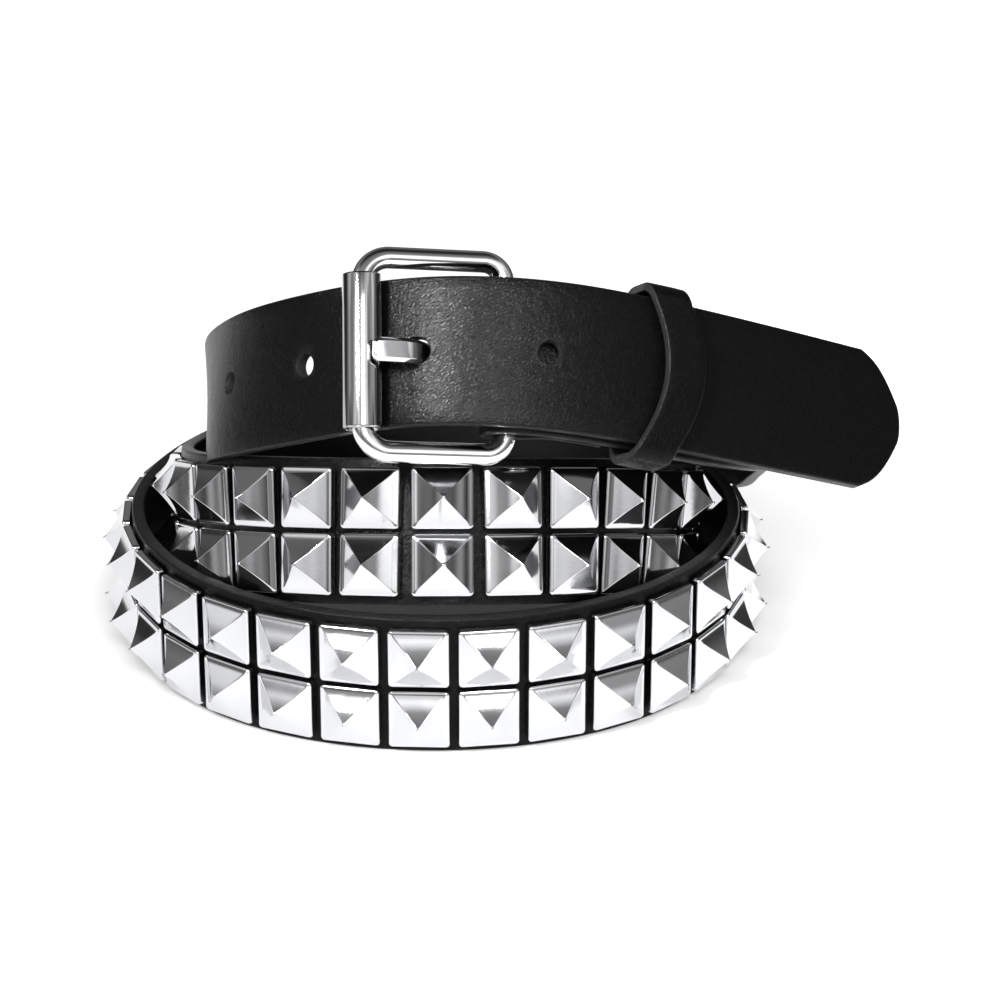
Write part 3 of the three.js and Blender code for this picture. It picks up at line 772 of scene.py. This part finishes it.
# ------------------------------------------------------------------ keeper
def keeper_mesh():
    C, T, W, N = (a[0] for a in along(KEEPER_AT))
    back, front = -3.6 - K - 1.9, K + 0.75
    top, foot, r, crown = H + 1.3, -H - 2.2, 2.2, 1.5
    line = []

    def corner(v, k, a0):
        for i in range(9):
            a = math.radians(a0 + 90 * i / 8)
            line.append((v + r * math.cos(a), k + r * math.sin(a), math.cos(a), math.sin(a)))

    corner(top - r, front - r, 0)
    n = 26
    for i in range(1, n):
        u = i / n
        line.append((top - r + (foot - top + 2 * r) * u, front + crown * math.sin(math.pi * u), 0, 1))
    corner(foot + r, front - r, 90)
    corner(foot + r, back + r, 180)
    for i in range(1, 12):
        u = i / 12
        line.append((foot + r + (top - foot - 2 * r) * u, back, 0, -1))
    corner(top - r, back + r, 270)
    half, th, mid = KEEPER_WIDTH / 2, KEEPER_THICK, (top + foot) / 2
    sec = [(x, d + th / 2) for x, d in rounded_profile(half, th / 2, 0.5, 0.35, 8, dome=0.05)]
    verts, co_, ed = [], [], []
    run_ = 0.0
    for j, (v, k, nv, nk) in enumerate(line):
        u = (v - mid) / ((top - foot) / 2)
        lag = (-KEEPER_BOW * u * u if k > 0 else -KEEPER_BOW) + 1.5
        if j:
            run_ += math.hypot(v - line[j - 1][0], k - line[j - 1][1])
        for x, d in sec:
            verts.append(C + T * (x + lag) + W * (v + nv * d) + N * (k + nk * d) - MIDDLE)
            co_.append((x + 400, run_, d))
            ed.append((max(0.0, 1 - (half - abs(x)) / 0.5), max(0.0, (0.4 - d) / 0.4) , 0))
    return np.array(verts) * MM, loft_faces(len(line), len(sec), closed=True), co_, ed


kv, kf, kco, ked = keeper_mesh()
keeper = new_mesh("keeper_band", kv, kf, 40)
point_attribute(keeper, "strap_mm", kco)
# the keeper's cut edges get the same lighter colour, partly wear and partly a painted highlight
point_attribute(keeper, "edge_wear_and_highlight", ked)
keeper.data.materials.append(LEATHER)
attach(keeper, "belt")
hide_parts("keeper_loop")

# ------------------------------------------------------------------ fold rivets
for i, (d, across) in enumerate(RIVETS):
    C, T, W, N = (a[0] for a in along(d))
    C = C + W * across
    back = -(STRAP_THICK + GAP + 0.1) - K
    prof = [(0.01, back - 1.35), (1.2, back - 1.32), (2.2, back - 1.12), (2.9, back - 0.74), (3.36, back - 0.30), (3.48, back - 0.02), (3.4, back + 0.06),
            (1.6, back + 0.06), (1.6, K - 0.1), (3.25, K - 0.05), (3.45, K + 0.02), (3.32, K + 0.22), (2.6, K + 0.45), (1.6, K + 0.58), (0.01, K + 0.62)]
    v, f = lathe(prof, 36, C, N, T)
    ob = new_mesh("fold_rivet_cap_%d" % (i + 1), v, f, 50)
    ob.data.materials.append(CHROME)
    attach(ob, "belt")
    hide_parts("fold_rivet_%d" % (i + 1))

# ------------------------------------------------------------------ floor, light, camera
floor_mat, fnt, fb = nodes_of("pale_floor")
fb.inputs["Base Color"].default_value = (0.90, 0.90, 0.90, 1)
fb.inputs["Roughness"].default_value = 0.8
fb.inputs["Specular IOR Level"].default_value = 0.1
# the table glows as if lit from below; near and under the coil the glow fades out, a painted contact shadow and painted
# shade inside the coil; its far part is dark
fc = node(fnt, "ShaderNodeTexCoord")
away = node(fnt, "ShaderNodeVectorMath", operation="DISTANCE")
link(fnt, fc.outputs["Object"], away.inputs[0])
away.inputs[1].default_value = (-MIDDLE[0] * MM, -MIDDLE[1] * MM, 0)
# glow mask: none under the coil, rising outward past its foot, a painted contact shadow
lit = ramp(fnt, maths(fnt, "MULTIPLY", away.outputs["Value"], 5.0), [(0.25, 0.0), (0.35, 0.35), (0.50, 1.0)], "EASE")
fb.inputs["Emission Color"].default_value = (1, 1, 1, 1)
rim = ramp(fnt, maths(fnt, "MULTIPLY", away.outputs["Value"], 0.8), [(0.0, 1.0), (0.568, 1.0), (0.792, 0.06)], "EASE")
link(fnt, maths(fnt, "MULTIPLY", maths(fnt, "MULTIPLY", lit, 0.66), rim), fb.inputs["Emission Strength"])
pale = node(fnt, "ShaderNodeMixRGB")
pale.inputs["Color1"].default_value = (0.04, 0.04, 0.04, 1)
pale.inputs["Color2"].default_value = (0.90, 0.90, 0.90, 1)
link(fnt, rim, pale.inputs["Fac"])
link(fnt, pale.outputs["Color"], fb.inputs["Base Color"])
floor = new_mesh("floor", [(-6, -6, -0.0001), (6, -6, -0.0001), (6, 6, -0.0001), (-6, 6, -0.0001)], [(0, 1, 2, 3)])
if floor.data.polygons[0].normal.z < 0:
    floor.data.flip_normals()
floor.data.materials.append(floor_mat)

world = bpy.data.worlds.new("studio")
bpy.context.scene.world = world
world.use_nodes = True
wt = world.node_tree
bg = wt.nodes["Background"]
tc = node(wt, "ShaderNodeTexCoord")
sp = node(wt, "ShaderNodeSeparateXYZ")
link(wt, tc.outputs["Generated"], sp.inputs[0])
# bright in front up to 45 degrees, dark behind and overhead, with screens and slits that stand low in front
height = maths(wt, "ADD", maths(wt, "MULTIPLY", sp.outputs["Z"], 0.5), 0.5)
dome = ramp(wt, height, [(0.0, 0.9), (0.5, 1.0), (0.822, 1.0), (0.862, 0.55), (0.886, 0.22), (1.0, 0.12)])
turn = maths(wt, "ADD", maths(wt, "DIVIDE", maths(wt, "ARCTAN2", sp.outputs["X"], maths(wt, "MULTIPLY", sp.outputs["Y"], -1.0)), 2 * math.pi), 0.5)
around = ramp(wt, turn, [(0.0, 0.13), (0.20, 0.14), (0.25, 0.30), (0.31, 0.75), (0.36, 1.0), (0.66, 1.0), (0.72, 0.70), (0.77, 0.28), (0.82, 0.14), (1.0, 0.13)])
bands = ramp(wt, turn, [
    (0.0, 1.0), (0.225, 1.0), (0.240, 2.2), (0.285, 1.4), (0.300, 0.45), (0.345, 0.35), (0.357, 0.95), (0.390, 0.95), (0.402, 0.25), (0.430, 0.28),
    (0.446, 0.62), (0.50, 0.72), (0.560, 0.80), (0.572, 1.25), (0.608, 1.25), (0.622, 0.40), (0.700, 0.34), (0.715, 0.9), (0.735, 0.8), (0.75, 0.5), (0.80, 1.0), (1.0, 1.0)])
low = ramp(wt, height, [(0.785, 1.0), (0.83, 0.0)])
# near the horizon it is dark all round, with upright streaks
streaks = maths(wt, "ADD", maths(wt, "MULTIPLY", maths(wt, "SINE", maths(wt, "MULTIPLY", turn, 150.0)), 0.13), 0.34)
streaks = maths(wt, "ADD", streaks, maths(wt, "MULTIPLY", maths(wt, "SINE", maths(wt, "MULTIPLY", turn, 61.0)), 0.11))
horizon = ramp(wt, height, [(0.50, 1.0), (0.60, 1.0), (0.68, 0.0)])
lit_sky = node(wt, "ShaderNodeMixRGB", blend_type="MULTIPLY")
lit_sky.inputs["Fac"].default_value = 1.0
link(wt, dome, lit_sky.inputs["Color1"])
link(wt, around, lit_sky.inputs["Color2"])
mix = node(wt, "ShaderNodeMixRGB", blend_type="MULTIPLY")
link(wt, low, mix.inputs["Fac"])
link(wt, lit_sky.outputs["Color"], mix.inputs["Color1"])
link(wt, bands, mix.inputs["Color2"])
dim = node(wt, "ShaderNodeMixRGB", blend_type="MULTIPLY")
link(wt, horizon, dim.inputs["Fac"])
link(wt, mix.outputs["Color"], dim.inputs["Color1"])
link(wt, streaks, dim.inputs["Color2"])
link(wt, dim.outputs["Color"], bg.inputs["Color"])
bg.inputs["Strength"].default_value = 1.28


def area(name, place, aim, size, power, size_y=None, spread=None):
    li = bpy.data.lights.new(name, "AREA")
    li.energy = power
    li.size = size
    if size_y:
        li.shape = "RECTANGLE"
        li.size_y = size_y
    if spread:
        li.spread = math.radians(spread)
    ob = bpy.data.objects.new(name, li)
    bpy.context.scene.collection.objects.link(ob)
    ob.location = place
    ob.rotation_euler = (Vector(aim) - Vector(place)).to_track_quat("-Z", "Y").to_euler()
    return ob


# a small lamp with a grid, aimed at the bulge of the strap beside the roller
BUCKLE_SPOT = tuple((along(1250.0)[0][0] + along(1250.0)[3][0] * K + along(1250.0)[2][0] * 2 - MIDDLE) * MM)
BUCKLE_LAMP_AT = (BUCKLE_SPOT[0] - 0.205, BUCKLE_SPOT[1] - 0.335, BUCKLE_SPOT[2] + 0.310)
area("front_softbox", (0.135, -0.96, 0.69), (0.0, -0.06, 0.09), 0.34, 7.5, size_y=0.38)
area("buckle_lamp", BUCKLE_LAMP_AT, (BUCKLE_SPOT[0], BUCKLE_SPOT[1], BUCKLE_SPOT[2] + 0.012), 0.10, 0.15, size_y=0.08, spread=25)

e = math.radians(CAM_ELEVATION)
toward = Vector((0, math.cos(e), -math.sin(e)))
cam_data = bpy.data.cameras.new("photo_camera")
cam_data.sensor_width = 36.0
cam_data.lens = CAM_FOCAL / 1000 * 36.0
cam_data.clip_start, cam_data.clip_end = 0.01, 50
cam = bpy.data.objects.new("photo_camera", cam_data)
bpy.context.scene.collection.objects.link(cam)
cam.location = Vector((CAM_TARGET - MIDDLE) * MM) - toward * (CAM_DISTANCE * MM)
cam.rotation_euler = toward.to_track_quat("-Z", "Y").to_euler()
bpy.context.scene.camera = cam
bpy.context.scene.view_settings.view_transform = "Standard"
bpy.context.scene.view_settings.look = "None"

bpy.context.view_layer.update()
